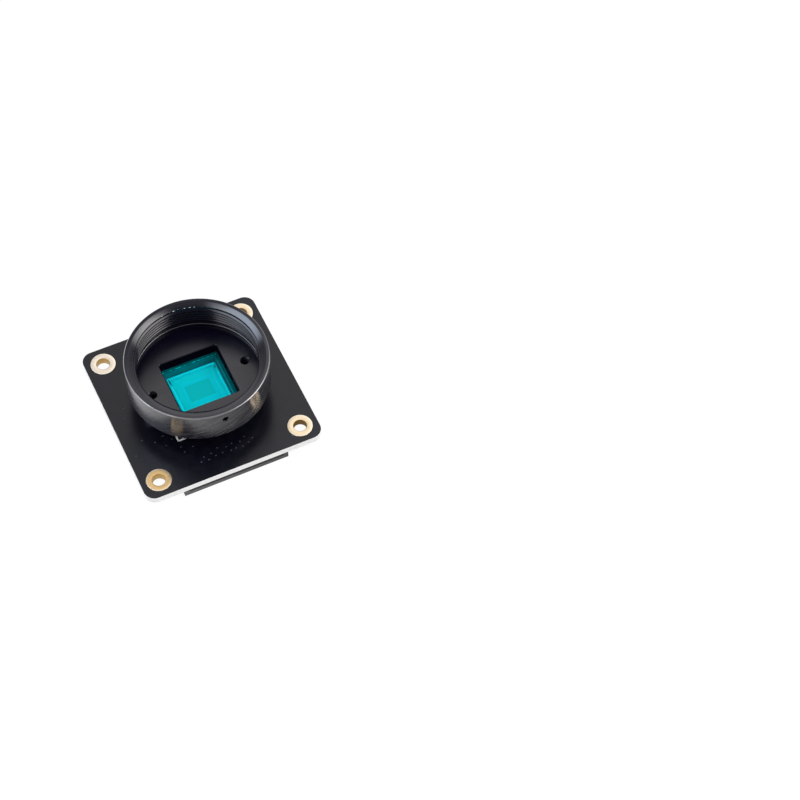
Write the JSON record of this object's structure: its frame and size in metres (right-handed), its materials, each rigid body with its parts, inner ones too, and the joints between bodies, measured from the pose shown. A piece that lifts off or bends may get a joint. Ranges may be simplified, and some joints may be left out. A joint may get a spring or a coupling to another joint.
{
  "type": "camera module",
  "caption": "Square camera board with an image sensor under a CS lens mount, plated mounting holes and a flat-cable socket with a slide latch.",
  "frame": {"origin": "centre of the four mounting holes, on the front face of the board", "axes": "+Z along the optical axis towards the lens; the flat-cable socket faces -Y, under the board"},
  "size_m": [0.038, 0.038, 0.0176],
  "materials": {
    "solder_mask": "black satin solder mask with a pale bare laminate edge",
    "gold": "gold plated, satin",
    "black_anodise": "black anodised, fine turning marks",
    "screw_steel": "plain steel",
    "filter_glass": "blue-green filter glass",
    "foam": "grey foam",
    "package_ceramic": "white ceramic",
    "silicon": "polished silicon",
    "cover_glass": "clear glass",
    "socket_plastic": "moulded, ivory",
    "latch_plastic": "moulded, dark grey",
    "contact_metal": "plated spring metal",
    "tin": "tinned",
    "lid_metal": "plated lid",
    "mould_black": "moulded black",
    "chip_tan": "ceramic chip part",
    "resistor_black": "glazed",
    "ferrite": "ferrite"
  },
  "bodies": {
    "module": {"pcb": "solder_mask", "hole_plating": "gold", "lens_mount": "black_anodise", "mount_screws": "screw_steel", "ir_filter": "filter_glass", "filter_gasket": "foam", "sensor_package": "package_ceramic", "sensor_die": "silicon", "sensor_cover_glass": "cover_glass", "socket_housing": "socket_plastic", "socket_contacts": "contact_metal", "socket_anchor_tabs": "tin", "oscillator_base": "package_ceramic", "oscillator_lid": "lid_metal", "regulator_bodies": "mould_black", "regulator_leads": "tin", "capacitors": "chip_tan", "capacitor_terminals": "tin", "bulk_capacitors": "chip_tan", "bulk_capacitor_terminals": "tin", "resistors": "resistor_black", "resistor_terminals": "tin", "ferrite_beads": "ferrite", "ferrite_bead_terminals": "tin"},
    "latch": {"socket_latch": "latch_plastic"}
  },
  "joints": [
    {"name": "latch_slide", "type": "slide", "parent": "module", "child": "latch", "axis": [0, -1, 0], "range_m": [0, 0.0012]}
  ]
}
